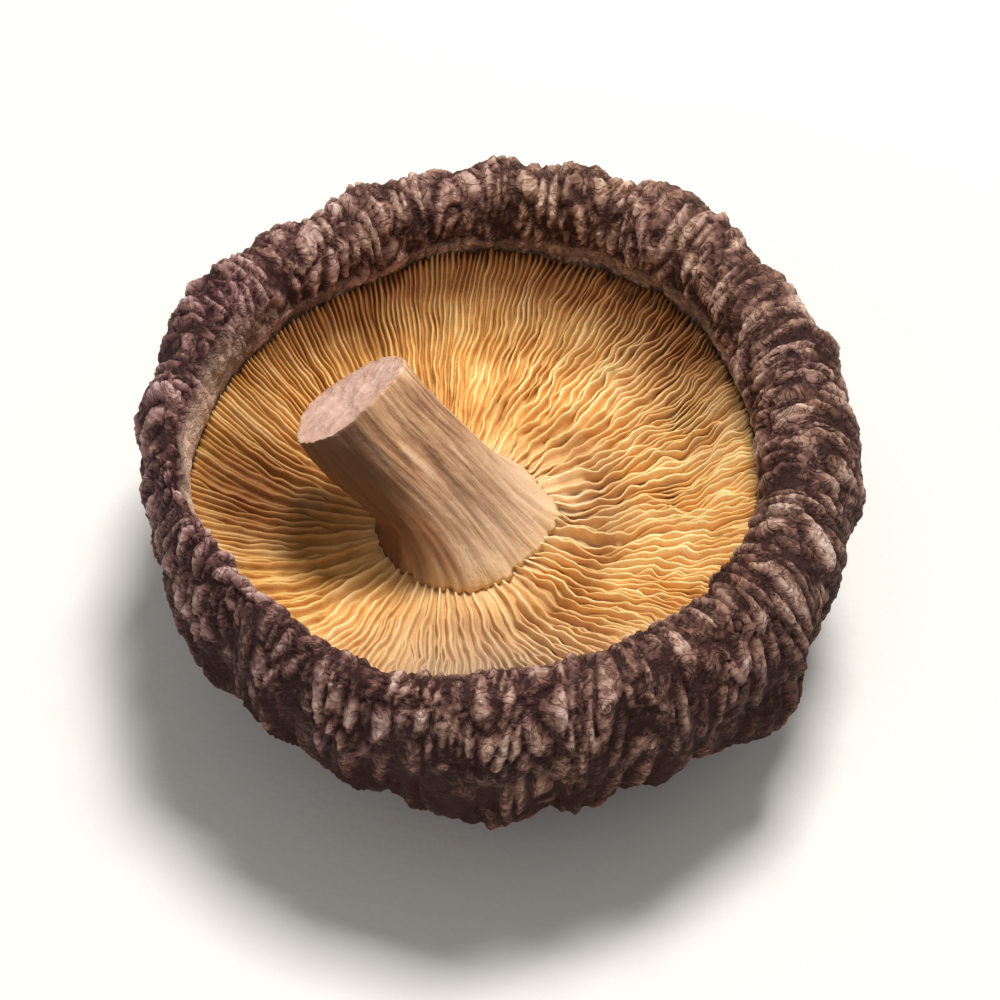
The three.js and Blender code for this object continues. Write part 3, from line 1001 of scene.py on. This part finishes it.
# %% Build the gills
gill_profile = [(0.0, 6.8), *[(6.0 + 0.2 * k, 6.0) for k in range(len(GILL_ROWS))], (0.0, 11.0)]
gill_mesh = sculpted_mesh("gills_fine", spun_body(gill_profile, steps=LONG_GILLS * 2, cuts=11), sculpt_gills)
seat(gill_mesh, gill_finish(), "gills")

# %% [markdown]
# The stem is a short stub, bent to the left and cut across, with a flared foot that spreads over the gills.
# It is a bundle of fibres. It starts as one more spun chain, and its rings are then carried along a curve:
# each ring sits square to the curve's lean, as slices of a bent sausage do.

# %% The stem's curve
STEM_TIP = Vector((-10.4, 1.0, 21.9))
STEM_FACING = Vector((-0.58, 0.38, 0.72)).normalized()
FOOT_PULL = Vector((-1.6, 0, 4.2))
TIP_PULL = 5.5
FULL_LEAN_AT = 0.8
STEM_ROWS = (
    ("under", 0.6),
    *[("side", share) for share in np.linspace(0.0, 1.0, 70)],
    *[("cut", size) for size in np.linspace(0.985, 0.06, 16)],
)


def stem_centre(share):
    first = STEM_FOOT + FOOT_PULL
    second = STEM_TIP - STEM_FACING * TIP_PULL
    rest = 1 - share
    return (rest ** 3 * STEM_FOOT + 3 * rest ** 2 * share * first
            + 3 * rest * share ** 2 * second + share ** 3 * STEM_TIP)


def stem_tilt(share):
    lean = Vector((0, 0, 1)).rotation_difference(STEM_FACING)
    return Quaternion().slerp(lean, float(eased(share / FULL_LEAN_AT)))


print(f"the stem is {(STEM_TIP - STEM_FOOT).length:.1f} mm long, foot to tip")

# %% [markdown]
# A ring of the stem isn't round. It has a few soft lumps and a row of fibre ridges, and at the foot it
# flares and sends out short uneven roots between the gills. The cut is slightly sunk in its middle and
# rough. Fibres come from noise on a cylinder that is squeezed lengthwise, so that each blob of it is drawn
# out into a thread.

# %% The shape of a ring of the stem
STEM_RADIUS = 4.4
STEM_FLARE = 1.5
FLARE_HEIGHT = 0.2
ROOT_HEIGHT = 0.035
ROOT_DROP = 0.34
CUT_DIP = 0.35


def cylinder(size, turn, lengthwise):
    """Points round an upright cylinder, at that height on it."""
    return np.stack((size * np.cos(turn), size * np.sin(turn), lengthwise + 0 * turn), axis=-1)


def fibres_at(share, turn):
    """The coarse and the fine fibres of a ring, each from -1 to 1."""
    lengthwise = share * 2.2 + 0.2 * np.sin(2 * turn)
    return noise_at(cylinder(5, turn, lengthwise)), noise_at(cylinder(14, turn, lengthwise * 2))


def stem_radius(share, turn, coarse_fibre, fine_fibre):
    flare = STEM_FLARE * math.exp(-((share / FLARE_HEIGHT) ** 1.4))
    lumps = 0.25 * np.sin(3 * turn + 0.8) + 0.15 * np.sin(5 * turn + 2)
    ridges = 0.16 * (1 - 2 * np.abs(coarse_fibre)) - 0.08 + 0.10 * fine_fibre
    root = math.exp(-share / ROOT_HEIGHT)
    uneven = noise_at(cylinder(1.7, turn, 4))
    roots = root * (0.55 * np.clip(0.35 + 1.1 * coarse_fibre, 0, 1) + 0.16 * np.clip(fine_fibre * 2, 0, 1))
    roots = roots * (0.75 + 1.1 * uneven) + 0.35 * root * np.clip(uneven, 0, 1)
    return STEM_RADIUS + flare + lumps + ridges * (1 + 0.8 * flare / STEM_FLARE) + roots


def ring_rise(kind, share, size, radius, turn):
    """How far the ring's points stand above their place on the curve, measured along the stem."""
    if kind != "cut":
        return -ROOT_DROP * math.exp(-share / ROOT_HEIGHT)
    flat = cylinder(radius, turn, 0)
    rough = 0.22 * noise_at(flat / 1.3) * (1 - size ** 6) + 0.12 * noise_at(flat / 0.5)
    return -CUT_DIP * (1 - size ** 2) + rough


# %% [markdown]
# The stem's underside is painted dark as shade. It faces left at the foot, and more and more to the front
# higher up, as the stem bends. The right of the foot is pale, and its lowest edge takes on the gold of the
# gills, so that the two look grown together. All of these are strengths from 0 to 1 for the finish to read.

# %% Marks and painted shade on the stem
SHADE_AT_FOOT = 184
SHADE_TURNS = 60
GOLD_HEIGHT = 0.055
STRAND_STRETCH = 0.35
STEM_MARKS = ("fibre", "shade", "pale", "foot")


def stem_marks(share, turn, coarse_fibre, fine_fibre):
    fibre = 0.5 + 0.5 * np.clip(1.8 * coarse_fibre + 1.2 * fine_fibre, -1, 1)
    # Painted shade on the underside: the dark side turns from the left at the foot towards the front at the
    # tip.
    under = np.cos(turn - math.radians(SHADE_AT_FOOT + SHADE_TURNS * share))
    shade = np.clip(2.3 * under - 0.72 + 0.6 * coarse_fibre, 0, 1)
    towards_right = np.clip(0.55 + 0.6 * np.cos(turn + 0.1), 0, 1)
    pale = np.clip(1.15 - 1.9 * share, 0, 1) * towards_right
    gold = math.exp(-share / GOLD_HEIGHT) * (1.0 + 0.9 * fine_fibre + 0.7 * coarse_fibre)
    return fibre, shade, pale, np.clip(gold, 0, 1)


# %% [markdown]
# The rings are now set square to the curve, one by one. Each point also keeps a place on a straight,
# squeezed copy of the stem. The finish reads its finest fibres there, so they follow the bend.

# %% Sculpt the stem
def sculpt_stem(row, angle):
    count = len(row)
    places, strand = np.zeros((2, count, 3))
    marks = np.zeros((len(STEM_MARKS), count))
    cut = np.zeros(count)
    for k, (kind, step) in enumerate(STEM_ROWS):
        here = row == k + 1
        turn = angle[here]
        share = {"under": 0.0, "side": step, "cut": 1.0}[kind]
        size = 1.0 if kind == "side" else step
        coarse_fibre, fine_fibre = fibres_at(share, turn)
        radius = stem_radius(share, turn, coarse_fibre, fine_fibre) * size
        flat = cylinder(radius, turn, ring_rise(kind, share, size, radius, turn))
        places[here] = flat @ np.array(stem_tilt(share).to_matrix()).T + np.array(stem_centre(share))
        strand[here] = cylinder(size, turn, STRAND_STRETCH * share)
        marks[:, here] = stem_marks(share, turn, coarse_fibre, fine_fibre)
        if kind == "cut":
            cut[here] = min((1 - size) * 6 + 0.35, 1)
            marks[1:3, here] = 0
    centre = row == len(STEM_ROWS) + 1
    places[row == 0] = np.array(STEM_FOOT)
    places[centre] = np.array(STEM_TIP - CUT_DIP * STEM_FACING)
    strand[centre] = (0, 0, STRAND_STRETCH)
    marks[0, centre] = 0.5
    cut[centre] = 1
    strands = dict(zip(("strand_x", "strand_y", "strand_z"), strand.T))
    return places, {**dict(zip(STEM_MARKS, marks)), "cut": cut, **strands}


# %% [markdown]
# The stem's skin is brown with paler threads, most of all over the foot, and its underside is painted dark as
# shade. Its cut is a pale pinkish cream. The coarse threads follow the mesh's own fibres by attribute. The
# finest ones are a noise on the straight copy of the stem, which colours the skin and ribs it with a bump.

# %% Finish of the stem
def stem_colour(finish, fibre, strands, blotch, grain):
    value = finish.math("MULTIPLY_ADD", fibre, 0.7, finish.math("MULTIPLY_ADD", blotch, 0.5, -0.2))
    value = finish.math("MULTIPLY_ADD", grain, 0.3, finish.math("SUBTRACT", value, 0.1))
    value = finish.math("MULTIPLY_ADD", strands, 1.10, finish.math("SUBTRACT", value, 0.55))
    skin = finish.ramp(value,
                       (0.08, (0.250, 0.120, 0.060)),
                       (0.40, (0.460, 0.254, 0.134)),
                       (0.70, (0.615, 0.384, 0.218)),
                       (0.95, (0.700, 0.490, 0.320)))
    pale = finish.math("MULTIPLY", finish.attribute("pale"), finish.math("MULTIPLY_ADD", fibre, 0.5, 0.5))
    skin = finish.mix(pale, skin, (0.765, 0.560, 0.375))
    skin = finish.mix(finish.math("MULTIPLY", finish.attribute("foot"), 0.75), skin, (0.780, 0.520, 0.250))
    # Painted shade: the underside is darkened to a deep brown.
    return finish.mix(finish.math("MULTIPLY", finish.attribute("shade"), 0.94), skin, (0.115, 0.052, 0.024))


def stem_finish():
    finish = Finish("stem_flesh")
    fibre = finish.attribute("fibre")
    grain = finish.noise(0.0006, 5, 0.6)
    blotch = finish.noise(0.003, 3)
    strands = finish.noise(0.055, 4, 0.65, place=finish.joined("strand_x", "strand_y", "strand_z"))
    skin = stem_colour(finish, fibre, strands, blotch, grain)
    face = finish.ramp(finish.math("MULTIPLY_ADD", blotch, 0.5, finish.math("MULTIPLY", grain, 0.5)),
                       (0.30, (0.460, 0.265, 0.196)),
                       (0.50, (0.585, 0.369, 0.290)),
                       (0.70, (0.690, 0.484, 0.400)))
    finish.look("Base Color", finish.mix(finish.attribute("cut"), skin, face))
    finish.look("Roughness", 0.68)
    finish.look("Specular IOR Level", 0.3)
    finish.look("Subsurface Weight", 0.2)
    finish.look("Subsurface Radius", (1.0, 0.5, 0.25))
    finish.look("Subsurface Scale", 0.0008)
    ribs = finish.bump(strands, 0.00018, 0.9)
    finish.look("Normal", finish.bump(grain, 0.00012, 0.8, under=ribs))
    return finish.material


# %% [markdown]
# As with the gills, the spun chain is only a carrier of rows. 240 points round are enough for the fine
# fibres.

# %% Build the stem
stem_profile = [(0.0, 0.0), *[(4.0, 0.2 * k) for k in range(len(STEM_ROWS))], (0.0, 20.0)]
stem_mesh = sculpted_mesh("stem_fine", spun_body(stem_profile, steps=60, cuts=3), sculpt_stem)
seat(stem_mesh, stem_finish(), "stem")
